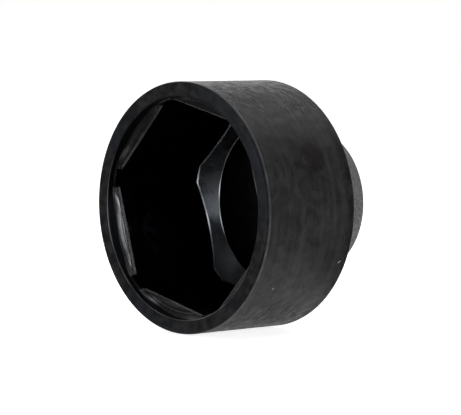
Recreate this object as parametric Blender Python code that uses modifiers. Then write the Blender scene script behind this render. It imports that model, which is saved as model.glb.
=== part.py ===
"""A cup-type oil filter wrench: a low-profile six-point socket for the hexagon on a canister filter's cap.

Three steel pieces make it: a turned and broached cup, a drive hub set in a round hole in the cup's back,
and the ring of weld that joins the two. Nothing on it moves.

The wrench lies on its side. Its axis is world Y, with the mouth at -Y and the drive end at +Y, and the
origin is on the axis, half way along. Each piece is modelled standing up, mouth at +Z, under an empty
that lays it down. Profiles are lists of (radius, depth) points, with depth counted from the mouth.
"""

import math

import bmesh
import bpy
from mathutils import Matrix

MM = 0.001

# Whole wrench
LENGTH = 34.0 * MM
GAP = 0.3 * MM  # left between neighbouring pieces
SEGMENTS = 64  # sides of every turned shape
STEP_ANGLE = 2 * math.pi / SEGMENTS
OVERSHOOT = 1.0 * MM  # how far a cutter runs out of the surface that it opens
MERGE = 0.01 * MM

# Cup, outside
CUP_RADIUS = 23.0 * MM
CUP_SIDE = 21.7 * MM  # depth of the back edge
FRONT_ROUND_WIDE = 0.2 * MM  # the front edge's round, measured across the rim
FRONT_ROUND_DEEP = 0.4 * MM  # the same round, measured along the side
BACK_ROUND = 0.5 * MM
SHOULDER_SLOPE = math.radians(40)
KNEE_RADIUS = 18.3 * MM
KNEE_SLOPE = math.radians(14)

# Cup, mouth
MOUTH_RADIUS = 20.65 * MM
MOUTH_CHAMFER = 0.2 * MM
COUNTERBORE_RADIUS = 20.4 * MM
COUNTERBORE_DEPTH = 2.0 * MM

# Cup, hexagon and dished floor
HEX_ACROSS_FLATS = 36.1 * MM
HEX_TURN = math.radians(16.45)
HEX_CORNER_RADIUS = 19.95 * MM
HEX_LEAD_IN = 0.3 * MM
HEX_LEAD_DEPTH = 0.55 * MM
FLOOR_CORNER_DEPTH = 22.1 * MM
FLOOR_EDGE_DEPTH = 24.15 * MM
POCKET_RADIUS = 15.5 * MM

# Drive hub
FLANGE_RADIUS = POCKET_RADIUS - GAP
FLANGE_FRONT = 25.0 * MM
FLANGE_BACK = 27.3 * MM
BOSS_RADIUS = 13.6 * MM
BOSS_CHAMFER = 0.4 * MM
DRIVE_SQUARE = 9.6 * MM
DRIVE_CHAMFER = 0.7 * MM
DETENT_RADIUS = 1.7 * MM
DETENT_DEPTH = 0.5 * MM
DETENT_FROM_END = 5.2 * MM

# Weld bead
WELD_FOOT_RADIUS = 17.2 * MM
WELD_TOP_DEPTH = 29.0 * MM
WELD_CROWN = 0.45 * MM

BLACK_OXIDE = (0.022, 0.022, 0.024)
BARE_FORGING = (0.075, 0.076, 0.080)
WELD_GREY = (0.045, 0.044, 0.046)


def height(depth):
    """Local Z of a depth from the mouth."""
    return LENGTH / 2 - depth


def arc(centre, wide, deep, start, end, steps):
    """Points on an ellipse's arc in the (radius, depth) plane. Angle 0 points outward, 90 to the mouth."""
    points = []
    for i in range(steps + 1):
        angle = math.radians(start + (end - start) * i / steps)
        out = centre[0] + wide * math.cos(angle)
        depth = centre[1] - deep * math.sin(angle)
        points.append((out, depth))
    return points


def clear_scene():
    for obj in list(bpy.data.objects):
        bpy.data.objects.remove(obj, do_unlink=True)


def new_collection(name):
    collection = bpy.data.collections.new(name)
    bpy.context.scene.collection.children.link(collection)
    return collection


def new_material(name, colour, metallic, roughness):
    material = bpy.data.materials.new(name)
    material.use_nodes = True
    shader = material.node_tree.nodes["Principled BSDF"]
    shader.inputs["Base Color"].default_value = (*colour, 1.0)
    shader.inputs["Metallic"].default_value = metallic
    shader.inputs["Roughness"].default_value = roughness
    return material


def new_object(name, mesh, collection, parent, turn=0.0):
    obj = bpy.data.objects.new(name, mesh)
    collection.objects.link(obj)
    obj.parent = parent
    obj.rotation_euler.z = turn
    return obj


def turned(name, profile, collection, parent, closed_ring=False):
    """A profile turned round the axis. Half a step of turn puts a flat side, not an edge, lowest."""
    mesh = bpy.data.meshes.new(name)
    points = [(radius, 0.0, height(depth)) for radius, depth in profile]
    edges = [(i, i + 1) for i in range(len(points) - 1)]
    if closed_ring:
        edges.append((len(points) - 1, 0))
    mesh.from_pydata(points, edges, [])
    obj = new_object(name, mesh, collection, parent, STEP_ANGLE / 2)
    screw = obj.modifiers.new("Turn", "SCREW")
    screw.angle = 2 * math.pi
    screw.steps = SEGMENTS
    screw.render_steps = SEGMENTS
    screw.use_merge_vertices = True
    screw.merge_threshold = MERGE
    return obj


def prism(name, sides, across_flats, front, back, flare, flare_depth, collection, parent, turn):
    """An upright prism from depth front to depth back. Its end at front flares out by flare in flare_depth,
    and the flare carries on past front by OVERSHOOT."""
    to_corner = 1 / math.cos(math.pi / sides)
    flat = across_flats / 2
    far_flat = flat + flare * (flare_depth + OVERSHOOT) / flare_depth
    straight_front = front + math.copysign(flare_depth, back - front)
    bm = bmesh.new()
    bmesh.ops.create_cone(
        bm,
        cap_ends=True,
        segments=sides,
        radius1=flat * to_corner,
        radius2=flat * to_corner,
        depth=abs(back - straight_front),
    )
    outward = 1.0 if back > front else -1.0  # the flared end faces the mouth, or the drive end
    bm.normal_update()
    end = next(face for face in bm.faces if face.normal.z * outward > 0.9)
    grown = bmesh.ops.extrude_face_region(bm, geom=[end])["geom"]
    corners = [item for item in grown if isinstance(item, bmesh.types.BMVert)]
    for corner in corners:
        corner.co.x *= far_flat / flat
        corner.co.y *= far_flat / flat
        corner.co.z += outward * (flare_depth + OVERSHOOT)
    bmesh.ops.delete(bm, geom=[end], context="FACES_ONLY")
    bmesh.ops.translate(bm, verts=bm.verts, vec=(0, 0, height((straight_front + back) / 2)))
    mesh = bpy.data.meshes.new(name)
    bm.to_mesh(mesh)
    bm.free()
    first_flat = 0.0 if sides == 6 else math.pi / sides
    return new_object(name, mesh, collection, parent, turn + first_flat)


def as_cutter(obj):
    obj.hide_render = True
    obj.display_type = "WIRE"
    return obj


def combine(obj, other, operation="DIFFERENCE"):
    boolean = obj.modifiers.new(operation.title(), "BOOLEAN")
    boolean.operation = operation
    boolean.solver = "EXACT"
    boolean.object = other


def settle(obj, material):
    """Makes the modifiers' result the object's own mesh, shaded smooth apart from its sharp edges."""
    graph = bpy.context.evaluated_depsgraph_get()
    mesh = bpy.data.meshes.new_from_object(obj.evaluated_get(graph))
    obj.modifiers.clear()
    obj.data = mesh
    mesh.name = obj.name
    mesh.shade_smooth()
    mesh.set_sharp_from_angle(angle=math.radians(30))
    mesh.materials.clear()
    mesh.materials.append(material)


def make_cup(parts, cutters, parent):
    shoulder_end = CUP_SIDE + (CUP_RADIUS - KNEE_RADIUS) * math.tan(SHOULDER_SLOPE)
    axis_end = shoulder_end + KNEE_RADIUS * math.tan(KNEE_SLOPE)
    front_corner = (CUP_RADIUS - FRONT_ROUND_WIDE, FRONT_ROUND_DEEP)
    back_turn = 90 - math.degrees(SHOULDER_SLOPE)
    cut_back = BACK_ROUND * math.tan(math.radians(back_turn / 2))
    back_corner = (CUP_RADIUS - BACK_ROUND, CUP_SIDE - cut_back)
    blank = [(0.0, 0.0)]
    blank += arc(front_corner, FRONT_ROUND_WIDE, FRONT_ROUND_DEEP, 90, 0, 4)
    blank += arc(back_corner, BACK_ROUND, BACK_ROUND, 0, -back_turn, 3)
    blank.append((KNEE_RADIUS, shoulder_end))
    blank.append((0.0, axis_end))
    cup = turned("socket_cup", blank, parts, parent)

    chamfer_rate = (MOUTH_RADIUS - COUNTERBORE_RADIUS) / MOUTH_CHAMFER
    counterbore = [
        (0.0, -OVERSHOOT),
        (MOUTH_RADIUS + chamfer_rate * OVERSHOOT, -OVERSHOOT),
        (COUNTERBORE_RADIUS, MOUTH_CHAMFER),
        (COUNTERBORE_RADIUS, COUNTERBORE_DEPTH),
        (0.0, COUNTERBORE_DEPTH),
    ]
    counterbore_cutter = as_cutter(turned("counterbore_cutter", counterbore, cutters, parent))

    cavity = [
        (0.0, COUNTERBORE_DEPTH - OVERSHOOT),
        (HEX_CORNER_RADIUS, COUNTERBORE_DEPTH - OVERSHOOT),
        (HEX_CORNER_RADIUS, FLOOR_CORNER_DEPTH),
        (POCKET_RADIUS, FLOOR_EDGE_DEPTH),
        (POCKET_RADIUS, axis_end + OVERSHOOT),
        (0.0, axis_end + OVERSHOOT),
    ]
    cavity_cutter = as_cutter(turned("cavity_cutter", cavity, cutters, parent))
    hexagon = prism(
        "hexagon_cutter",
        6,
        HEX_ACROSS_FLATS,
        COUNTERBORE_DEPTH,
        axis_end + 2 * OVERSHOOT,
        HEX_LEAD_IN,
        HEX_LEAD_DEPTH,
        cutters,
        parent,
        HEX_TURN,
    )
    combine(cavity_cutter, as_cutter(hexagon), "INTERSECT")
    combine(cup, counterbore_cutter)
    combine(cup, cavity_cutter)
    settle(cup, new_material("cup_black_oxide", BLACK_OXIDE, 0.6, 0.42))
    return cup


def make_hub(parts, cutters, parent):
    profile = [
        (0.0, FLANGE_FRONT),
        (FLANGE_RADIUS, FLANGE_FRONT),
        (FLANGE_RADIUS, FLANGE_BACK),
        (BOSS_RADIUS, FLANGE_BACK),
        (BOSS_RADIUS, LENGTH - BOSS_CHAMFER),
        (BOSS_RADIUS - BOSS_CHAMFER, LENGTH),
        (0.0, LENGTH),
    ]
    hub = turned("drive_hub", profile, parts, parent)
    square = prism(
        "square_cutter",
        4,
        DRIVE_SQUARE,
        LENGTH,
        FLANGE_FRONT - OVERSHOOT,
        DRIVE_CHAMFER,
        DRIVE_CHAMFER,
        cutters,
        parent,
        HEX_TURN,
    )
    combine(hub, as_cutter(square))
    for number, turn in enumerate((0.0, math.pi / 2)):
        bm = bmesh.new()
        bmesh.ops.create_cone(
            bm,
            cap_ends=True,
            segments=16,
            radius1=DETENT_RADIUS,
            radius2=DETENT_RADIUS,
            depth=DRIVE_SQUARE + 2 * DETENT_DEPTH,
            matrix=Matrix.Rotation(math.pi / 2, 4, "Y"),
        )
        bmesh.ops.translate(bm, verts=bm.verts, vec=(0, 0, height(LENGTH - DETENT_FROM_END)))
        name = f"detent_cutter_{number + 1}"
        mesh = bpy.data.meshes.new(name)
        bm.to_mesh(mesh)
        bm.free()
        detent = new_object(name, mesh, cutters, parent, HEX_TURN + turn)
        combine(hub, as_cutter(detent))
    settle(hub, new_material("hub_dark_steel", BARE_FORGING, 0.7, 0.5))
    return hub


def make_weld(parts, parent):
    """A ring with a crowned face. Its root follows the hub's step and the cup's back, a gap away."""
    boss_side = BOSS_RADIUS + GAP
    flange_side = POCKET_RADIUS
    shoulder_end = CUP_SIDE + (CUP_RADIUS - KNEE_RADIUS) * math.tan(SHOULDER_SLOPE)

    def above_cup(radius):
        """Depth a gap behind the cup's back."""
        on_cup = shoulder_end + (KNEE_RADIUS - radius) * math.tan(KNEE_SLOPE)
        return on_cup + GAP / math.cos(KNEE_SLOPE)

    foot = (WELD_FOOT_RADIUS, above_cup(WELD_FOOT_RADIUS))
    top = (boss_side, WELD_TOP_DEPTH)
    width = top[0] - foot[0]
    rise = top[1] - foot[1]
    chord = math.hypot(width, rise)
    face = []
    steps = 6
    for i in range(steps + 1):
        along = i / steps
        crown = WELD_CROWN * math.sin(math.pi * along)
        out = foot[0] + width * along + rise / chord * crown
        depth = foot[1] + rise * along - width / chord * crown
        face.append((out, depth))
    root = [
        (boss_side, FLANGE_BACK + GAP),
        (flange_side, FLANGE_BACK + GAP),
        (flange_side, above_cup(flange_side)),
    ]
    weld = turned("weld_bead", face + root, parts, parent, closed_ring=True)
    settle(weld, new_material("weld_steel", WELD_GREY, 0.6, 0.5))
    return weld


def main():
    clear_scene()
    parts = new_collection("oil_filter_wrench")
    cutters = new_collection("cutters")
    axis = bpy.data.objects.new("wrench_axis", None)
    parts.objects.link(axis)
    axis.rotation_euler.x = math.pi / 2
    make_cup(parts, cutters, axis)
    make_hub(parts, cutters, axis)
    make_weld(parts, axis)


main()
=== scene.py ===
"""Finished looks for the oil filter wrench: a black six-point cup socket with a drive hub welded in its back.

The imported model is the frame. Each of its three pieces is replaced by a finer mesh of the same size, with
rounded edges, worn facets at the dished floor and a rippled weld. Each kind of surface has its own finish.

Every profile is a list of corners in the (radius, depth) plane, with depth counted from the mouth. The
wrench's axis is world Y, and angles are counted round it from +X towards +Z.
"""

import math

import bpy
import numpy as np
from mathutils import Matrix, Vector


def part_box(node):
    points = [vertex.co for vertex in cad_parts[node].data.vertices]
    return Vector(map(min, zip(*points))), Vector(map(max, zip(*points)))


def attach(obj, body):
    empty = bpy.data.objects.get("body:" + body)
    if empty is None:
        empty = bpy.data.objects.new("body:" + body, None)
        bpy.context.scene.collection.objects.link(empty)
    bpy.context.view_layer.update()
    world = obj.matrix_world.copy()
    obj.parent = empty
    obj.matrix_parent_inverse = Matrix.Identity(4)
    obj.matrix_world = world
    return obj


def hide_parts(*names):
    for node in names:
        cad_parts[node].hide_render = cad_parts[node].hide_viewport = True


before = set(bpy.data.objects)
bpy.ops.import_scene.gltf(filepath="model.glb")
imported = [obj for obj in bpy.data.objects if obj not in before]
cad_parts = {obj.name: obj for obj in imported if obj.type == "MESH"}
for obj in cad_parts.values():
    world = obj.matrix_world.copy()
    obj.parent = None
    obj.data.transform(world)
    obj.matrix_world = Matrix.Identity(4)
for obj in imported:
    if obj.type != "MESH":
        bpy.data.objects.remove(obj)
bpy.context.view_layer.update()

MM = 0.001
MOUTH_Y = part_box("socket_cup")[0].y
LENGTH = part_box("drive_hub")[1].y - MOUTH_Y

# The cup's outside. A steep shoulder and the gently sloping back meet at the knee, as (radius, depth).
CUP_RADIUS = 23.0 * MM
CUP_SIDE = 21.7 * MM
BACK_EDGE = (0.35 * MM, 0.3 * MM)
KNEE = (18.3 * MM, 25.64 * MM)
BACK_SLOPE = math.tan(math.radians(14))
BACK_HOLE_DEPTH = 26.34 * MM
FRONT_FACET = ((22.8 * MM, 0.0), (23.0 * MM, 0.4 * MM))
# Width of the band behind the front edge that is painted lighter as a highlight
HIGHLIGHT_BAND = 0.55 * MM

# The cup's inside. The shelves are the seats at the hexagon's sides, and its corners have higher ledges.
MOUTH_RADIUS = 20.65 * MM
MOUTH_CHAMFER = 0.2 * MM
COUNTERBORE_RADIUS = 20.4 * MM
LEDGE_DEPTH = 1.25 * MM
SHELF_DEPTH = 2.0 * MM
SHELF_STEP = 0.15 * MM
FLAT = 18.05 * MM
LEAD_FLAT = 18.35 * MM
LEAD_DEPTH = 2.6 * MM
HEX_CORNER_RADIUS = 19.95 * MM
HEX_TURN = math.radians(16.45)
HOLE_SOFTNESS = 0.03 * MM
BREAK_ANGLE = math.radians(0.5)
POCKET_RADIUS = 15.5 * MM
FLOOR_CORNER_DEPTH = 22.1 * MM
FLOOR_EDGE_DEPTH = 24.15 * MM
FLOOR_SLOPE = (FLOOR_EDGE_DEPTH - FLOOR_CORNER_DEPTH) / (HEX_CORNER_RADIUS - POCKET_RADIUS)
FACET = 0.26 * MM
POCKET_FACET = 0.6 * FACET
FACET_SLOPE = math.tan(math.radians(33))

# How far along its edges each kind of corner is rounded, and how many times as far out the next ring stands
HAIR_ROUND = 0.02 * MM
FINE_ROUND = 0.03 * MM
EDGE_ROUND = 0.1 * MM
SOFT_ROUND = 0.15 * MM
KNEE_ROUND = 0.8 * MM
GUARD = 1.5
SHARP_ANGLE = math.radians(40)

# Hub
FLANGE_RADIUS = 15.2 * MM
FLANGE_FRONT = 25.0 * MM
FLANGE_BACK = 27.3 * MM
BOSS_RADIUS = 13.6 * MM
BOSS_CHAMFER = 0.4 * MM
SQUARE_FLAT = 4.8 * MM
SQUARE_TURN = HEX_TURN
SQUARE_CORNER_RADIUS = 6.5 * MM
SQUARE_CHAMFER = 0.7 * MM
DETENT_RADIUS = 1.7 * MM
DETENT_SINK = 0.5 * MM
DETENT_CENTRE = LENGTH - 5.2 * MM

# Marks on the cup's side, as (angle round the axis in degrees, depth from the mouth)
DENT = (23.4, 11.6 * MM)
DENT_RADIUS = 1.7 * MM
DENT_DEPTH = 0.20 * MM
DENT_LIP = 0.04 * MM
CHIPS = ((-36.9, 5.8 * MM), (-25.2, 19.9 * MM), (-24.6, 20.2 * MM))
WAVE_COUNT = 40
WAVE_HEIGHT = 0.012 * MM

# Weld
WELD_FOOT_RADIUS = 17.2 * MM
WELD_TOP_DEPTH = 29.0 * MM
WELD_ROOT_RADIUS = 15.4 * MM
WELD_CROWN = 0.45 * MM
WELD_OVERLAP = 0.05 * MM
WELD_CUTS_ROUND = 900
WELD_CUTS_ACROSS = 22
RIPPLE_COUNT = 78
RIPPLE_HEIGHT = 0.15 * MM


# ---------------------------------------------------------------- meshes


def sector_angle(angles, sides, turn):
    """Each angle measured from the middle of the nearest side."""
    step = 2 * math.pi / sides
    return (angles - turn + step / 2) % step - step / 2


def smooth_step(value, low, high):
    """0 up to low, 1 from high on, and a smooth rise between them."""
    share = np.clip((value - low) / (high - low), 0.0, 1.0)
    return share * share * (3 - 2 * share)


def rounded_min(first, second, softness):
    """The lower of two lengths, blended over a length of about softness where they cross."""
    return -softness * np.logaddexp(-first / softness, -second / softness)


def polygon_radius(angles, sides, turn, flat, corner_radius):
    """Distance to the side of a regular hole whose corners are cut by a circle."""
    side = flat / np.cos(sector_angle(angles, sides, turn))
    return rounded_min(side, np.full_like(side, corner_radius), HOLE_SOFTNESS)


def sector_angles(sides, turn, flat, corner_radius, along_side, along_corner):
    """Angles round the axis, closer together where a side meets its cut corner."""
    step = 2 * math.pi / sides
    edge = math.acos(flat / corner_radius)
    close = np.linspace(-BREAK_ANGLE, BREAK_ANGLE, 7)
    middle = np.linspace(-edge + BREAK_ANGLE, edge - BREAK_ANGLE, along_side)
    corner = np.linspace(edge + BREAK_ANGLE, step - edge - BREAK_ANGLE, along_corner)[1:]
    sector = np.concatenate([middle, edge + close[1:], corner, step - edge + close[1:-1]])
    starts = turn + step * np.arange(sides)
    return (starts[:, None] + sector[None, :]).ravel()


def on_side(angle, depth):
    """The point of the cup's side at an angle in degrees and a depth from the mouth."""
    turn = math.radians(angle)
    return (CUP_RADIUS * math.cos(turn), MOUTH_Y + depth, CUP_RADIUS * math.sin(turn))


class Profile:
    """A closed outline of corners, each rounded, made into rings of points round the axis."""

    def __init__(self, angles):
        self.angles = angles
        self.corners = []

    def corner(self, radius, depth, rounding, steps, cuts, slot):
        """A corner rounded over a length of both its edges, or of each edge, in a number of steps.

        The band that follows it is cut across a number of times, and has its slot, or a slot for each angle.
        """
        before, after = np.broadcast_to(rounding, 2)
        point = np.empty((len(self.angles), 2))
        point[:, 0] = radius
        point[:, 1] = depth
        self.corners.append((point, before, after, steps, cuts, slot))

    def rings(self):
        """(rings of (radius, depth), the slot of the band after each ring)."""
        rings = []
        slots = []
        count = len(self.corners)
        last_slot = self.corners[-1][5]
        for k, (point, before, after, steps, cuts, slot) in enumerate(self.corners):
            back = self.corners[k - 1][0] - point
            ahead = self.corners[(k + 1) % count][0] - point
            back /= np.linalg.norm(back, axis=1, keepdims=True)
            ahead /= np.linalg.norm(ahead, axis=1, keepdims=True)
            start = point + back * before
            end = point + ahead * after
            rings.append(point + back * before * GUARD)
            slots.append(last_slot)
            for i in range(steps + 1):
                t = i / steps
                rings.append(start * (1 - t) ** 2 + point * 2 * t * (1 - t) + end * t**2)
                slots.append(last_slot if t < 0.5 else slot)
            leave = point + ahead * after * GUARD
            rings.append(leave)
            slots.append(slot)
            following = self.corners[(k + 1) % count]
            arrive = following[0] - ahead * following[1] * GUARD
            for i in range(1, cuts):
                rings.append(leave + (arrive - leave) * i / cuts)
                slots.append(slot)
            last_slot = slot
        return rings, slots


def skin(name, angles, rings, slots, materials):
    """A closed mesh, faces outwards, through rings of (radius, depth) with the last joined to the first."""
    across = len(angles)
    around = len(rings)
    cos, sin = np.cos(angles), np.sin(angles)
    points = np.concatenate(
        [np.column_stack([ring[:, 0] * cos, MOUTH_Y + ring[:, 1], ring[:, 0] * sin]) for ring in rings]
    )
    ring = np.arange(around)[:, None]
    step = np.arange(across)[None, :]
    next_ring = (ring + 1) % around
    next_step = (step + 1) % across
    quads = np.stack(
        [
            ring * across + step,
            ring * across + next_step,
            next_ring * across + next_step,
            next_ring * across + step,
        ],
        axis=-1,
    ).reshape(-1, 4)
    corner = points[quads]
    volume = np.einsum("ij,ij->i", corner[:, 0], np.cross(corner[:, 1], corner[:, 2])).sum()
    volume += np.einsum("ij,ij->i", corner[:, 0], np.cross(corner[:, 2], corner[:, 3])).sum()
    if volume < 0:
        quads = quads[:, ::-1]
    mesh = bpy.data.meshes.new(name)
    mesh.from_pydata(points.tolist(), [], quads.tolist())
    for material in materials:
        mesh.materials.append(material)
    band_slots = np.concatenate([np.broadcast_to(slot, across) for slot in slots]).astype(np.int32)
    mesh.polygons.foreach_set("material_index", band_slots)
    mesh.shade_smooth()
    mesh.set_sharp_from_angle(angle=SHARP_ANGLE)
    mesh.update()
    obj = bpy.data.objects.new(name, mesh)
    bpy.context.scene.collection.objects.link(obj)
    return obj


# ---------------------------------------------------------------- finishes


class Look:
    """One procedural finish on a Principled shader."""

    def __init__(self, name, **constants):
        self.material = bpy.data.materials.new(name)
        self.material.use_nodes = True
        self.tree = self.material.node_tree
        self.shader = self.tree.nodes["Principled BSDF"]
        for socket, value in constants.items():
            self.shader.inputs[socket.replace("_", " ")].default_value = value
        self.place = self.node("ShaderNodeTexCoord").outputs["Object"]
        self.normal = None

    def node(self, kind, settings=None, **inputs):
        """A new node. Its inputs are given by socket name, or as i0, i1 and so on by number."""
        made = self.tree.nodes.new(kind)
        for key, value in (settings or {}).items():
            setattr(made, key, value)
        for key, value in inputs.items():
            socket = made.inputs[int(key[1:])] if key[0] == "i" and key[1:].isdigit() else made.inputs[key]
            if isinstance(value, bpy.types.NodeSocket):
                self.tree.links.new(value, socket)
            else:
                socket.default_value = value
        return made

    def math(self, operation, first, second=0.0):
        return self.node("ShaderNodeMath", {"operation": operation}, i0=first, i1=second).outputs[0]

    def stretched(self, x, y, z):
        """Object coordinates times a scale for each axis, in features per metre."""
        made = self.node("ShaderNodeVectorMath", {"operation": "MULTIPLY"}, i0=self.place, i1=(x, y, z))
        return made.outputs[0]

    def scaled(self, scale):
        """Object coordinates times one scale, in features per metre."""
        return self.stretched(scale, scale, scale)

    def noise(self, vector, detail, rough, twist=0.0):
        made = self.node(
            "ShaderNodeTexNoise", Vector=vector, Scale=1.0, Detail=detail, Roughness=rough, Distortion=twist
        )
        return made.outputs["Fac"]

    def radius(self):
        """Distance from the wrench's axis."""
        flat = self.stretched(1.0, 0.0, 1.0)
        return self.node("ShaderNodeVectorMath", {"operation": "LENGTH"}, i0=flat).outputs["Value"]

    def circles(self, per_metre):
        """Fine turning marks: noise that changes with the radius, and hardly along the cut."""
        outward = self.node("ShaderNodeCombineXYZ", X=self.math("MULTIPLY", self.radius(), per_metre))
        slow = self.stretched(60.0, 0.0, 60.0)
        both = self.node("ShaderNodeVectorMath", {"operation": "ADD"}, i0=outward.outputs[0], i1=slow)
        return self.noise(both.outputs[0], 2.0, 0.6)

    def ramp(self, value, low, high, out_low=0.0, out_high=1.0):
        """A smooth step of a value from out_low at low to out_high at high."""
        made = self.node(
            "ShaderNodeMapRange",
            {"interpolation_type": "SMOOTHSTEP"},
            Value=value,
            i1=low,
            i2=high,
            i3=out_low,
            i4=out_high,
        )
        return made.outputs["Result"]

    def along_axis(self):
        """Position along the wrench's axis."""
        return self.node("ShaderNodeSeparateXYZ", Vector=self.place).outputs["Y"]

    def above_axis(self):
        """Height over the wrench's axis, negative under it."""
        return self.node("ShaderNodeSeparateXYZ", Vector=self.place).outputs["Z"]

    def gap(self, point):
        """Distance from a point."""
        made = self.node("ShaderNodeVectorMath", {"operation": "DISTANCE"}, i0=self.place, i1=point)
        return made.outputs["Value"]

    def near(self, point, inner, outer):
        """1 within inner of a point, falling to 0 at outer."""
        return self.ramp(self.gap(point), inner, outer, 1.0, 0.0)

    def creases(self, vector, width, share):
        """Thin winding lines along a noise's middle level, kept where share is high."""
        ridge = self.math("ABSOLUTE", self.math("SUBTRACT", self.noise(vector, 3.0, 0.6, 0.8), 0.5))
        return self.math("MULTIPLY", self.ramp(ridge, 0.0, width, 1.0, 0.0), share)

    def mix(self, share, first, second):
        """The first colour where share is 0, and the second where it is 1."""
        made = self.node("ShaderNodeMix", {"data_type": "RGBA"}, Factor=share)
        for number, value in ((6, first), (7, second)):
            if isinstance(value, bpy.types.NodeSocket):
                self.tree.links.new(value, made.inputs[number])
            else:
                made.inputs[number].default_value = (*value, 1.0)
        return made.outputs[2]

    def bump(self, height, distance, strength):
        """Relief of a height times a distance, laid over the reliefs before it."""
        made = self.node("ShaderNodeBump", Height=height, Distance=distance, Strength=strength)
        if self.normal is not None:
            self.tree.links.new(self.normal, made.inputs["Normal"])
        self.normal = made.outputs["Normal"]

    def done(self, colour, roughness=None):
        self.tree.links.new(colour, self.shader.inputs["Base Color"])
        if roughness is not None:
            self.tree.links.new(roughness, self.shader.inputs["Roughness"])
        if self.normal is not None:
            self.tree.links.new(self.normal, self.shader.inputs["Normal"])
        return self.material


def side_finish():
    """Black oxide on the cup's side: turned all round, with forging creases, a dent's stain and chips."""
    look = Look("oxide_side", Specular_IOR_Level=0.22)
    streaks = look.noise(look.stretched(60, 1500, 60), 4.0, 0.6)
    wide_streaks = look.noise(look.stretched(30, 420, 30), 3.0, 0.6)
    scale = look.noise(look.scaled(260), 7.0, 0.68, 1.2)
    grain = look.noise(look.scaled(3500), 2.0, 0.6)
    patches = look.ramp(look.noise(look.stretched(150, 110, 150), 2.0, 0.5), 0.38, 0.52)
    level = look.math("ABSOLUTE", look.above_axis())
    wrinkled = look.math("MULTIPLY", patches, look.ramp(level, 0.66 * CUP_RADIUS, 0.86 * CUP_RADIUS))
    creases = look.creases(look.stretched(210, 480, 210), 0.065, wrinkled)
    look.bump(wide_streaks, 0.04 * MM, 0.25)
    look.bump(streaks, 0.02 * MM, 0.45)
    look.bump(scale, 0.09 * MM, 0.55)
    look.bump(look.math("SUBTRACT", 1.0, creases), 0.15 * MM, 1.0)
    look.bump(grain, 0.004 * MM, 0.8)
    colour = look.mix(look.ramp(scale, 0.35, 0.7), (0.008, 0.008, 0.009), (0.0215, 0.0215, 0.0235))
    colour = look.mix(look.ramp(streaks, 0.45, 0.7, 0.0, 0.35), colour, (0.036, 0.036, 0.039))
    colour = look.mix(look.ramp(wide_streaks, 0.5, 0.7, 0.0, 0.25), colour, (0.004, 0.004, 0.004))
    colour = look.mix(look.math("MULTIPLY", creases, 0.85), colour, (0.001, 0.001, 0.001))
    speckled = look.ramp(look.noise(look.scaled(900), 3.0, 0.7), 0.35, 0.6)
    back_edge = MOUTH_Y + CUP_SIDE
    near_back = look.ramp(look.along_axis(), back_edge - 2.6 * MM, back_edge - 0.5 * MM)
    colour = look.mix(look.math("MULTIPLY", near_back, speckled), colour, (0.002, 0.002, 0.002))
    centre = on_side(*DENT)
    beside = on_side(DENT[0] + 1.0, DENT[1] + 1.5 * MM)
    uneven = look.noise(look.scaled(500), 3.0, 0.6)
    patchy = look.ramp(uneven, 0.3, 0.7, 0.4, 0.95)
    # Painted shade: the side is drawn darker round the dent
    painted_dent_shade = look.math("MULTIPLY", look.near(centre, 1.5 * MM, 5.5 * MM), patchy)
    colour = look.mix(painted_dent_shade, colour, (0.004, 0.004, 0.004))
    stain = look.math(
        "MULTIPLY",
        look.near(beside, 2.3 * MM, 3.4 * MM),
        look.ramp(look.gap(centre), 0.7 * MM, 1.5 * MM),
    )
    stain_share = look.math("MULTIPLY", stain, look.ramp(uneven, 0.2, 0.5, 0.6, 1.0))
    colour = look.mix(stain_share, colour, (0.0035, 0.0, 0.002))
    for chip in CHIPS:
        colour = look.mix(look.near(on_side(*chip), 0.06 * MM, 0.18 * MM), colour, (0.4, 0.4, 0.4))
    rough = look.ramp(look.noise(look.scaled(700), 4.0, 0.6), 0.3, 0.7, 0.34, 0.52)
    return look.done(colour, look.math("ADD", rough, look.math("MULTIPLY", stain, 0.2)))


def edge_highlight_finish():
    """The outer edges: a lighter line painted in as the edges' highlight."""
    look = Look("painted_edge_highlight", Specular_IOR_Level=0.2)
    streaks = look.noise(look.stretched(500, 60, 500), 3.0, 0.6)
    grain = look.noise(look.scaled(3500), 2.0, 0.6)
    look.bump(grain, 0.004 * MM, 0.8)
    # Painted highlight: the edge bands are coloured lighter than the side
    colour = look.mix(look.ramp(streaks, 0.35, 0.7), (0.029, 0.029, 0.031), (0.057, 0.057, 0.061))
    return look.done(colour, look.ramp(grain, 0.3, 0.7, 0.34, 0.45))


def rim_finish():
    """The faced rim: fine turning marks under satin black oxide, mottled and faintly blue."""
    look = Look("oxide_rim", Specular_IOR_Level=0.12)
    marks = look.circles(5000)
    blotches = look.noise(look.scaled(520), 5.0, 0.65)
    tint = look.noise(look.scaled(60), 2.0, 0.5)
    look.bump(marks, 0.006 * MM, 0.8)
    look.bump(blotches, 0.03 * MM, 0.7)
    colour = look.mix(look.ramp(blotches, 0.38, 0.66), (0.002, 0.002, 0.0025), (0.015, 0.015, 0.016))
    colour = look.mix(look.ramp(tint, 0.45, 0.62, 0.0, 0.5), colour, (0.006, 0.009, 0.014))
    return look.done(colour, look.ramp(blotches, 0.3, 0.7, 0.38, 0.5))


def mouth_edge_finish():
    """The small chamfer at the mouth, cut back to bright steel, with painted shade above the axis."""
    look = Look("bright_edge", Metallic=0.7)
    marks = look.circles(6000)
    wear = look.noise(look.scaled(200), 4.0, 0.6)
    look.bump(marks, 0.004 * MM, 0.6)
    colour = look.mix(look.ramp(wear, 0.3, 0.7), (0.09, 0.09, 0.093), (0.27, 0.27, 0.275))
    # Painted shade: the chamfer is drawn darker above the axis
    painted_shade = look.ramp(look.above_axis(), -1.0 * MM, 5.0 * MM, 0.0, 0.8)
    colour = look.mix(painted_shade, colour, (0.01, 0.01, 0.011))
    return look.done(colour, look.ramp(wear, 0.3, 0.7, 0.3, 0.45))


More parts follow.
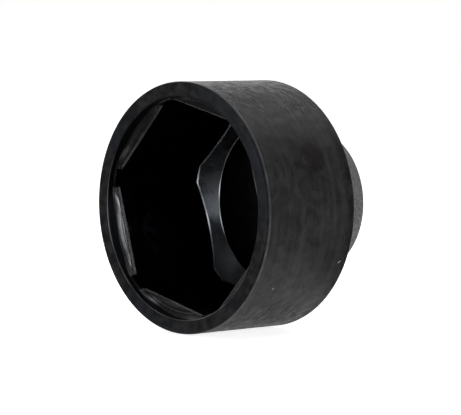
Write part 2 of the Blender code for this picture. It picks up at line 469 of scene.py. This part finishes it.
def floor_edge_finish():
    """The narrow facets at the dished floor's two edges and the lead-in under the seats: bright steel."""
    look = Look("polished_edge", Metallic=0.82)
    wear = look.noise(look.scaled(300), 4.0, 0.6)
    look.bump(wear, 0.01 * MM, 0.5)
    colour = look.mix(look.ramp(wear, 0.3, 0.7), (0.30, 0.31, 0.33), (0.52, 0.53, 0.55))
    # Painted shade: deep in the cup and below the axis the facets are drawn darker
    deep = look.ramp(look.along_axis(), MOUTH_Y + 5 * MM, MOUTH_Y + 10 * MM)
    painted_shade = look.math("MULTIPLY", deep, look.ramp(look.above_axis(), -7.5 * MM, -3.5 * MM, 0.9, 0.0))
    colour = look.mix(painted_shade, colour, (0.02, 0.02, 0.022))
    # Painted shade: the lead-in at the upper-left seat is drawn darker
    dim_side = HEX_TURN + math.radians(120)
    dim_seat = (FLAT * math.cos(dim_side), MOUTH_Y + SHELF_DEPTH, FLAT * math.sin(dim_side))
    shaded = look.math("MULTIPLY", look.near(dim_seat, 9.0 * MM, 10.5 * MM), 0.75)
    colour = look.mix(shaded, colour, (0.02, 0.02, 0.022))
    return look.done(colour, look.ramp(wear, 0.3, 0.7, 0.16, 0.26))


def groove_finish():
    """The counterbore's wall: blued, with fine turning marks, and painted shade above the axis."""
    look = Look("blued_groove", Specular_IOR_Level=0.2)
    marks = look.noise(look.stretched(80, 4000, 80), 3.0, 0.6)
    look.bump(marks, 0.006 * MM, 0.7)
    colour = look.mix(look.ramp(marks, 0.35, 0.65), (0.003, 0.004, 0.006), (0.018, 0.021, 0.028))
    # Painted shade: the wall is drawn darker above the axis
    colour = look.mix(look.ramp(look.above_axis(), -1.0 * MM, 3.0 * MM), colour, (0.001, 0.001, 0.002))
    return look.done(colour, look.ramp(marks, 0.3, 0.7, 0.35, 0.5))


def shelf_finish():
    """The seats at the sides of the mouth: bright turned steel, with the ribs of the cutter's chatter."""
    look = Look("cut_shelf", Metallic=0.9, Anisotropic=0.9, Anisotropic_Rotation=0.25)
    marks = look.circles(3400)
    ribs = look.noise(look.stretched(2600, 300, 2600), 3.0, 0.6)
    look.bump(marks, 0.004 * MM, 0.8)
    look.bump(ribs, 0.004 * MM, 0.6)
    threads = look.math("MULTIPLY", look.ramp(marks, 0.38, 0.6), look.ramp(ribs, 0.3, 0.6, 0.5, 1.0))
    colour = look.mix(threads, (0.035, 0.035, 0.037), (0.18, 0.18, 0.186))
    # Painted shade: the seats are drawn darker above the axis
    painted_shade = look.ramp(look.above_axis(), 1.0 * MM, 10.0 * MM, 0.0, 0.6)
    colour = look.mix(painted_shade, colour, (0.008, 0.008, 0.009))
    turned = look.node("ShaderNodeTangent", {"direction_type": "RADIAL", "axis": "Y"})
    look.tree.links.new(turned.outputs["Tangent"], look.shader.inputs["Tangent"])
    return look.done(colour, look.ramp(marks, 0.3, 0.7, 0.32, 0.48))


def flat_finish():
    """The broached flats: oiled, coloured almost black partly as painted shade, with a few dried smears."""
    look = Look("oxide_flats", Specular_IOR_Level=0.06)
    drawn = look.noise(look.stretched(1200, 60, 1200), 3.0, 0.6)
    pools = look.ramp(look.noise(look.stretched(70, 110, 70), 2.0, 0.5), 0.42, 0.6)
    shallow = look.ramp(look.along_axis(), MOUTH_Y + 9 * MM, MOUTH_Y + 15 * MM, 1.0, 0.0)
    low = look.ramp(look.above_axis(), -1 * MM, 6 * MM, 1.0, 0.0)
    share = look.math("MULTIPLY", pools, look.math("MULTIPLY", shallow, low))
    smears = look.creases(look.stretched(170, 250, 170), 0.06, share)
    look.bump(drawn, 0.002 * MM, 0.5)
    # Partly painted shade: far darker than the rim's oxide, so the hollow insides stay black
    colour = look.mix(look.ramp(drawn, 0.3, 0.8), (0.0001, 0.0001, 0.0002), (0.0004, 0.0004, 0.0005))
    colour = look.mix(smears, colour, (0.014, 0.015, 0.023))
    return look.done(colour, look.ramp(drawn, 0.3, 0.8, 0.28, 0.4))


def floor_finish():
    """The dished floor: blued steel, smoother than the rest, with faint rings."""
    look = Look("blued_floor", Metallic=1.0)
    marks = look.circles(2500)
    cloud = look.noise(look.scaled(200), 4.0, 0.6)
    look.bump(marks, 0.006 * MM, 0.7)
    look.bump(cloud, 0.03 * MM, 0.4)
    colour = look.mix(look.ramp(cloud, 0.3, 0.7), (0.03, 0.033, 0.037), (0.055, 0.06, 0.066))
    return look.done(colour, look.ramp(cloud, 0.3, 0.7, 0.2, 0.3))


def back_finish():
    """The sloping back: oxide over coarser turning."""
    look = Look("oxide_back", Specular_IOR_Level=0.5)
    marks = look.circles(2600)
    scale = look.noise(look.scaled(300), 6.0, 0.65, 0.8)
    look.bump(marks, 0.02 * MM, 0.8)
    look.bump(scale, 0.06 * MM, 0.6)
    colour = look.mix(look.ramp(scale, 0.35, 0.7), (0.008, 0.008, 0.009), (0.026, 0.026, 0.028))
    return look.done(colour, look.ramp(scale, 0.3, 0.7, 0.36, 0.52))


def hub_finish():
    """The hub: greyer and grainier than the cup."""
    look = Look("forged_hub", Specular_IOR_Level=0.5)
    grain = look.noise(look.scaled(2600), 4.0, 0.7)
    blotches = look.noise(look.scaled(500), 5.0, 0.6)
    look.bump(grain, 0.02 * MM, 1.0)
    look.bump(blotches, 0.05 * MM, 0.5)
    colour = look.mix(look.ramp(grain, 0.35, 0.7), (0.057, 0.057, 0.06), (0.165, 0.165, 0.17))
    return look.done(colour, look.ramp(blotches, 0.3, 0.7, 0.42, 0.6))


def hub_face_finish():
    """The hub's faced end: grey, with turning marks and a little scale left in them."""
    look = Look("faced_hub", Metallic=0.3)
    marks = look.circles(3200)
    blotches = look.noise(look.scaled(420), 6.0, 0.65)
    grain = look.noise(look.scaled(3000), 3.0, 0.6)
    look.bump(marks, 0.012 * MM, 0.9)
    look.bump(blotches, 0.03 * MM, 0.5)
    look.bump(grain, 0.005 * MM, 0.8)
    colour = look.mix(look.ramp(marks, 0.35, 0.7), (0.05, 0.05, 0.053), (0.11, 0.11, 0.114))
    colour = look.mix(look.ramp(blotches, 0.5, 0.72, 0.0, 0.7), colour, (0.022, 0.022, 0.024))
    return look.done(colour, look.ramp(blotches, 0.3, 0.7, 0.34, 0.5))


def weld_finish():
    """The weld bead: darkened, with a faint brown tint in its heated bands."""
    look = Look("weld_metal", Metallic=0.6)
    heat = look.noise(look.scaled(260), 4.0, 0.6)
    grain = look.noise(look.scaled(3000), 3.0, 0.6)
    look.bump(grain, 0.008 * MM, 0.8)
    colour = look.mix(look.ramp(heat, 0.35, 0.7), (0.06, 0.056, 0.056), (0.16, 0.15, 0.145))
    return look.done(colour, look.ramp(heat, 0.3, 0.7, 0.26, 0.42))


# ---------------------------------------------------------------- pieces


def side_hollows(angles, depth):
    """How far the side lies below its true radius: shallow forging waves, and the dent with its lip."""
    random = np.random.default_rng(5)
    waves = np.zeros_like(angles)
    for _ in range(WAVE_COUNT):
        length = random.uniform(2.0, 5.0) * MM
        heading = random.uniform(0, 2 * math.pi)
        round_axis = round(2 * math.pi * CUP_RADIUS * math.cos(heading) / length)
        along_axis = 2 * math.pi * math.sin(heading) / length
        waves += np.sin(round_axis * angles + along_axis * depth + random.uniform(0, 2 * math.pi))
    waves /= math.sqrt(WAVE_COUNT / 2)
    hollow = WAVE_HEIGHT * (waves + 2.5)
    turn = (angles - math.radians(DENT[0]) + math.pi) % (2 * math.pi) - math.pi
    reach = np.hypot(turn * CUP_RADIUS, depth - DENT[1]) / DENT_RADIUS
    hollow += DENT_DEPTH * np.exp(-((reach / 0.55) ** 2))
    hollow -= DENT_LIP * np.exp(-(((reach - 1) / 0.25) ** 2))
    from_mouth = smooth_step(depth, 1.2 * MM, 2.5 * MM)
    from_back = smooth_step(CUP_SIDE - depth, 0.6 * MM, 1.6 * MM)
    return np.maximum(hollow, 0.0) * from_mouth * from_back


def make_cup():
    """The cup, with the counterbore, the six sunk seats, the hexagon, the dished floor and the open back."""
    angles = sector_angles(6, HEX_TURN, FLAT, HEX_CORNER_RADIUS, along_side=40, along_corner=9)
    wall = polygon_radius(angles, 6, HEX_TURN, FLAT, HEX_CORNER_RADIUS)
    lead = polygon_radius(angles, 6, HEX_TURN, LEAD_FLAT, HEX_CORNER_RADIUS)
    floor = FLOOR_EDGE_DEPTH - (wall - POCKET_RADIUS) * FLOOR_SLOPE
    across = np.abs(sector_angle(angles, 6, HEX_TURN))
    side_end = math.acos(FLAT / HEX_CORNER_RADIUS)
    sunk = SHELF_DEPTH - LEDGE_DEPTH
    shelf_foot = SHELF_DEPTH - sunk * smooth_step(across, 0.35 * side_end, side_end)
    shelf_edge = SHELF_DEPTH - sunk * smooth_step(across, side_end - BREAK_ANGLE, side_end + BREAK_ANGLE)
    rim, side, back, dish, flats, shelf, painted_highlight, bright, polished, groove = range(10)
    lead_slot = np.where(across < side_end, polished, flats)
    ledge_slot = np.where(across < side_end, shelf, rim)
    halfway = (COUNTERBORE_RADIUS + MOUTH_RADIUS) / 2
    facet_rise = FACET_SLOPE - FLOOR_SLOPE
    outline = Profile(angles)
    # radius, depth, rounding, steps in the rounding, cuts across the band after it, that band's slot
    outline.corner(MOUTH_RADIUS, 0.0, (0.04 * MM, 0.05 * MM), 3, 8, rim)
    outline.corner(*FRONT_FACET[0], (0.12 * MM, EDGE_ROUND), 5, 2, rim)
    # The bands after the front facet and at the back edge carry the painted highlight
    outline.corner(*FRONT_FACET[1], EDGE_ROUND, 4, 3, painted_highlight)
    outline.corner(CUP_RADIUS, FRONT_FACET[1][1] + HIGHLIGHT_BAND, EDGE_ROUND, 2, 60, side)
    outline.corner(CUP_RADIUS, CUP_SIDE, SOFT_ROUND, 4, 2, painted_highlight)
    outline.corner(CUP_RADIUS - BACK_EDGE[0], CUP_SIDE + BACK_EDGE[1], SOFT_ROUND, 4, 10, back)
    outline.corner(*KNEE, KNEE_ROUND, 6, 4, back)
    outline.corner(POCKET_RADIUS, BACK_HOLE_DEPTH, EDGE_ROUND, 3, 4, flats)
    pocket_edge = FLOOR_EDGE_DEPTH + POCKET_FACET * facet_rise
    outline.corner(POCKET_RADIUS, pocket_edge, HAIR_ROUND, 2, 2, polished)
    dish_edge = FLOOR_EDGE_DEPTH - POCKET_FACET * FLOOR_SLOPE
    outline.corner(POCKET_RADIUS + POCKET_FACET, dish_edge, HAIR_ROUND, 2, 10, dish)
    outline.corner(wall - FACET, floor + FACET * FLOOR_SLOPE, HAIR_ROUND, 2, 3, polished)
    outline.corner(wall, floor - FACET * facet_rise, FINE_ROUND, 3, 30, flats)
    outline.corner(wall, LEAD_DEPTH, 0.05 * MM, 2, 3, lead_slot)
    outline.corner(lead, shelf_edge + SHELF_STEP, FINE_ROUND, 2, 2, flats)
    outline.corner(lead, shelf_edge, FINE_ROUND, 2, 8, ledge_slot)
    outline.corner(COUNTERBORE_RADIUS, shelf_foot, EDGE_ROUND, 4, 5, groove)
    outline.corner(COUNTERBORE_RADIUS, MOUTH_CHAMFER, FINE_ROUND, 3, 2, bright)
    outline.corner(halfway, MOUTH_CHAMFER / 2, 0.01 * MM, 2, 2, rim)
    rings, slots = outline.rings()
    for ring, slot in zip(rings, slots):
        if np.array_equal(slot, side):
            ring[:, 0] -= side_hollows(angles, ring[:, 1])
    finishes = [
        rim_finish(),
        side_finish(),
        back_finish(),
        floor_finish(),
        flat_finish(),
        shelf_finish(),
        edge_highlight_finish(),
        mouth_edge_finish(),
        floor_edge_finish(),
        groove_finish(),
    ]
    return skin("cup_body", angles, rings, slots, finishes)


def make_hub():
    """The flange and boss, with the square drive hole and its four shallow ball dimples."""
    angles = sector_angles(4, SQUARE_TURN, SQUARE_FLAT, SQUARE_CORNER_RADIUS, along_side=60, along_corner=9)
    hole = polygon_radius(angles, 4, SQUARE_TURN, SQUARE_FLAT, SQUARE_CORNER_RADIUS)
    wide_flat = SQUARE_FLAT + SQUARE_CHAMFER
    wide_corner = SQUARE_CORNER_RADIUS + SQUARE_CHAMFER
    mouth = polygon_radius(angles, 4, SQUARE_TURN, wide_flat, wide_corner)
    # The dark slot takes the flats' near-black colour, partly painted shade
    forged, dark, faced = range(3)
    outline = Profile(angles)
    outline.corner(hole, FLANGE_FRONT, EDGE_ROUND, 3, 12, dark)
    outline.corner(FLANGE_RADIUS, FLANGE_FRONT, SOFT_ROUND, 4, 4, dark)
    outline.corner(FLANGE_RADIUS, FLANGE_BACK, EDGE_ROUND, 3, 3, forged)
    outline.corner(BOSS_RADIUS, FLANGE_BACK, EDGE_ROUND, 3, 20, forged)
    outline.corner(BOSS_RADIUS, LENGTH, BOSS_CHAMFER, 6, 12, faced)
    outline.corner(mouth, LENGTH, 0.12 * MM, 3, 4, faced)
    outline.corner(hole, LENGTH - SQUARE_CHAMFER, EDGE_ROUND, 3, 60, forged)
    rings, slots = outline.rings()
    across = sector_angle(angles, 4, SQUARE_TURN)
    ball = (DETENT_RADIUS**2 + DETENT_SINK**2) / (2 * DETENT_SINK)
    for ring in rings:
        inside_hole = ring[:, 0] < SQUARE_CORNER_RADIUS + 0.01 * MM
        sideways = ring[:, 0] * np.sin(across)
        lengthwise = ring[:, 1] - DETENT_CENTRE
        reach = sideways**2 + lengthwise**2
        dimple = inside_hole & (reach < DETENT_RADIUS**2)
        sunk = np.sqrt(np.maximum(ball**2 - reach, 0.0)) - (ball - DETENT_SINK)
        ring[:, 0] = np.where(dimple, ring[:, 0] + sunk / np.cos(across), ring[:, 0])
    return skin("hub_body", angles, rings, slots, [hub_finish(), flat_finish(), hub_face_finish()])


def make_weld():
    """A bead of overlapping ripples, with a slightly wandering toe."""
    angles = np.linspace(0, 2 * math.pi, WELD_CUTS_ROUND, endpoint=False)
    toe = WELD_FOOT_RADIUS + 0.08 * MM * np.sin(7 * angles + 0.4) + 0.05 * MM * np.sin(17 * angles + 1.9)
    on_cup = KNEE[1] + (KNEE[0] - toe) * BACK_SLOPE - WELD_OVERLAP
    top_radius = np.full_like(angles, BOSS_RADIUS - WELD_OVERLAP)
    top_depth = WELD_TOP_DEPTH + 0.08 * MM * np.sin(5 * angles + 2.2) + 0.04 * MM * np.sin(13 * angles)
    foot = np.column_stack([toe, on_cup])
    top = np.column_stack([top_radius, top_depth - 0.12 * MM])
    chord = top - foot
    outward = np.column_stack([chord[:, 1], -chord[:, 0]])
    outward /= np.linalg.norm(outward, axis=1, keepdims=True)
    rings = []
    for i in range(WELD_CUTS_ACROSS + 1):
        t = i / WELD_CUTS_ACROSS
        bow = math.sin(math.pi * t)
        phase = RIPPLE_COUNT * angles + 2.6 * (2 * t - 1) ** 2 + 0.5 * np.sin(9 * angles)
        saw = (phase / (2 * math.pi)) % 1.0
        ripple = RIPPLE_HEIGHT * (saw**0.5 - 0.6) * bow**0.6
        lift = WELD_CROWN * bow * (1 + 0.12 * np.sin(6 * angles + 1.0)) + ripple
        rings.append(foot + chord * t + outward * lift[:, None])
    over_flange = np.full_like(angles, FLANGE_BACK + 0.1 * MM)
    root_radius = np.full_like(angles, WELD_ROOT_RADIUS)
    under_cup = np.full_like(angles, BACK_HOLE_DEPTH - WELD_OVERLAP)
    rings.append(np.column_stack([top_radius, over_flange]))
    rings.append(np.column_stack([root_radius, over_flange]))
    rings.append(np.column_stack([root_radius + 0.2 * MM, under_cup]))
    return skin("weld_ring", angles, rings, [0] * len(rings), [weld_finish()])


for make, node, slot in (
    (make_cup, "socket_cup", "cup_steel"),
    (make_hub, "drive_hub", "hub_steel"),
    (make_weld, "weld_bead", "weld_steel"),
):
    piece = make()
    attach(piece, "root")
    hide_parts(node)


# ---------------------------------------------------------------- studio

CAMERA_AZIMUTH = math.radians(47.0)
CAMERA_ELEVATION = math.radians(3.7)
CAMERA_DISTANCE = 0.4731
CAMERA_TARGET = Vector((0.00627, -0.01027, 0.00012))
CAMERA_SENSOR_MM = 36.0
CAMERA_LENS_MM = 203.6
WHITE = (1.0, 1.0, 1.0)
COOL_WHITE = (0.90, 0.95, 1.0)
FLOOR_Z = -CUP_RADIUS
FLOOR_HALF = 3.0
FLOOR_GLOW = 0.8
CARD_REACH = 2.5
DARK_EDGE_Y = MOUTH_Y - 3.0 * MM


def direction(azimuth, elevation):
    """From the target towards a viewer: azimuth 0 stands at -Y and turns towards +X."""
    return Vector(
        (
            math.sin(azimuth) * math.cos(elevation),
            -math.cos(azimuth) * math.cos(elevation),
            math.sin(elevation),
        )
    )


def make_sheet(name, material, x_from, x_to, y_from, y_to, height):
    """A level rectangle of the studio."""
    mesh = bpy.data.meshes.new(name)
    mesh.from_pydata(
        [(x_from, y_from, height), (x_to, y_from, height), (x_to, y_to, height), (x_from, y_to, height)],
        [],
        [(0, 1, 2, 3)],
    )
    mesh.materials.append(material)
    sheet = bpy.data.objects.new(name, mesh)
    bpy.context.scene.collection.objects.link(sheet)
    return sheet


def make_floor():
    """A pale floor that glows enough to vanish into the white background."""
    look = Look("pale_floor", Roughness=0.9, Specular_IOR_Level=0.1)
    cloud = look.noise(look.scaled(6), 3.0, 0.5)
    colour = look.mix(look.ramp(cloud, 0.3, 0.7), (0.90, 0.90, 0.90), (0.92, 0.92, 0.92))
    look.shader.inputs["Emission Color"].default_value = (*WHITE, 1.0)
    look.shader.inputs["Emission Strength"].default_value = FLOOR_GLOW
    reach = (-FLOOR_HALF, FLOOR_HALF)
    floor = make_sheet("floor", look.done(colour), *reach, *reach, FLOOR_Z)


def make_card(name, shade, glow, x_from, x_to, y_from, y_to, lift):
    """A card just over the floor, seen only in reflections."""
    card = bpy.data.materials.new(name)
    card.use_nodes = True
    shader = card.node_tree.nodes["Principled BSDF"]
    shader.inputs["Base Color"].default_value = (shade, shade, shade, 1.0)
    shader.inputs["Roughness"].default_value = 0.9
    shader.inputs["Emission Color"].default_value = (*WHITE, 1.0)
    shader.inputs["Emission Strength"].default_value = glow
    obj = make_sheet(name, card, x_from, x_to, y_from, y_to, FLOOR_Z + lift)
    obj.visible_camera = False
    obj.visible_diffuse = False
    obj.visible_shadow = False
    obj.visible_transmission = False


def make_light(name, azimuth, elevation, distance, size, watts, colour=WHITE):
    """A rectangular lamp that faces the wrench from a direction given in degrees."""
    light = bpy.data.lights.new(name, "AREA")
    light.shape = "RECTANGLE"
    light.size, light.size_y = size
    light.energy = watts
    light.color = colour
    lamp = bpy.data.objects.new(name, light)
    away = direction(math.radians(azimuth), math.radians(elevation))
    lamp.location = away * distance
    lamp.rotation_euler = away.to_track_quat("Z", "Y").to_euler()
    bpy.context.scene.collection.objects.link(lamp)


def world_ramp(tree, value, low, high, out_low, out_high):
    """A smooth step in the world's own nodes."""
    ramp = tree.nodes.new("ShaderNodeMapRange")
    ramp.interpolation_type = "SMOOTHSTEP"
    ramp.inputs["From Min"].default_value = low
    ramp.inputs["From Max"].default_value = high
    ramp.inputs["To Min"].default_value = out_low
    ramp.inputs["To Max"].default_value = out_high
    tree.links.new(value, ramp.inputs["Value"])
    return ramp.outputs["Result"]


def make_world():
    """Plain white to the eye. The metal reflects white from behind the wrench and less from before it."""
    world = bpy.data.worlds.new("studio")
    world.use_nodes = True
    tree = world.node_tree
    tree.nodes.clear()
    sky = tree.nodes.new("ShaderNodeTexCoord")
    facing = tree.nodes.new("ShaderNodeVectorMath")
    facing.operation = "DOT_PRODUCT"
    facing.inputs[1].default_value = -direction(CAMERA_AZIMUTH, 0.0)
    tree.links.new(sky.outputs["Generated"], facing.inputs[0])
    behind = world_ramp(tree, facing.outputs["Value"], 0.0, 1.1, 0.03, 1.75)
    up = tree.nodes.new("ShaderNodeSeparateXYZ")
    tree.links.new(sky.outputs["Generated"], up.inputs[0])
    overhead = world_ramp(tree, up.outputs["Z"], 0.42, 0.65, 1.0, 0.25)
    both = tree.nodes.new("ShaderNodeMath")
    both.operation = "MULTIPLY"
    tree.links.new(behind, both.inputs[0])
    tree.links.new(overhead, both.inputs[1])
    room = tree.nodes.new("ShaderNodeBackground")
    room.inputs["Color"].default_value = (*WHITE, 1.0)
    tree.links.new(both.outputs[0], room.inputs["Strength"])
    backdrop = tree.nodes.new("ShaderNodeBackground")
    backdrop.inputs["Color"].default_value = (*WHITE, 1.0)
    seen = tree.nodes.new("ShaderNodeLightPath")
    choose = tree.nodes.new("ShaderNodeMixShader")
    tree.links.new(seen.outputs["Is Camera Ray"], choose.inputs["Fac"])
    tree.links.new(room.outputs[0], choose.inputs[1])
    tree.links.new(backdrop.outputs[0], choose.inputs[2])
    output = tree.nodes.new("ShaderNodeOutputWorld")
    tree.links.new(choose.outputs[0], output.inputs["Surface"])
    bpy.context.scene.world = world


def make_camera():
    """A long lens a little above the axis, in front of the mouth and well to one side."""
    data = bpy.data.cameras.new("camera")
    data.sensor_width = CAMERA_SENSOR_MM
    data.lens = CAMERA_LENS_MM
    data.clip_start = 0.01
    data.clip_end = 20.0
    camera = bpy.data.objects.new("camera", data)
    away = direction(CAMERA_AZIMUTH, CAMERA_ELEVATION)
    camera.location = CAMERA_TARGET + away * CAMERA_DISTANCE
    camera.rotation_euler = away.to_track_quat("Z", "Y").to_euler()
    bpy.context.scene.collection.objects.link(camera)
    bpy.context.scene.camera = camera


make_floor()
# Black in front keeps the rim dark, and grey behind stands for the shaded floor. A darker patch beside the
# back end dims the boss, and a bright card in front draws the light lines on the dished floor's two edges.
make_card("black_card", 0.01, 0.0, -CARD_REACH, CARD_REACH, MOUTH_Y - CARD_REACH, DARK_EDGE_Y, 0.05 * MM)
make_card("grey_card", 0.5, 0.54, -CARD_REACH, CARD_REACH, DARK_EDGE_Y, CARD_REACH, 0.05 * MM)
make_card("dark_card", 0.25, 0.02, 0.5 * CUP_RADIUS, CARD_REACH, 12.0 * MM, CARD_REACH, 0.1 * MM)
make_card("front_card", 0.9, 2.2, 16.0 * MM, 75.0 * MM, -300.0 * MM, -70.0 * MM, 0.15 * MM)
make_world()
make_camera()
# name, azimuth and elevation in degrees, distance and size in metres, watts. The first lights the side's
# top, the next two the mouth, the shelf strip the bright seat, the floor strip the floor, the last the side.
make_light("top_softbox", 150, 75, 0.7, (0.7, 0.7), 3.0)
make_light("mouth_softbox", 14, 14, 0.8, (0.15, 0.2), 0.2, COOL_WHITE)
make_light("low_softbox", -10, 27, 0.8, (0.25, 0.2), 0.12)
make_light("shelf_strip", -18, 0.5, 0.8, (0.3, 0.05), 1.9)
make_light("floor_strip", -3, 0.5, 0.8, (0.12, 0.05), 0.33)
make_light("side_strip", 100, 2, 0.6, (0.08, 0.6), 1.6)

bpy.context.scene.view_settings.view_transform = "Standard"
bpy.context.scene.view_settings.look = "None"
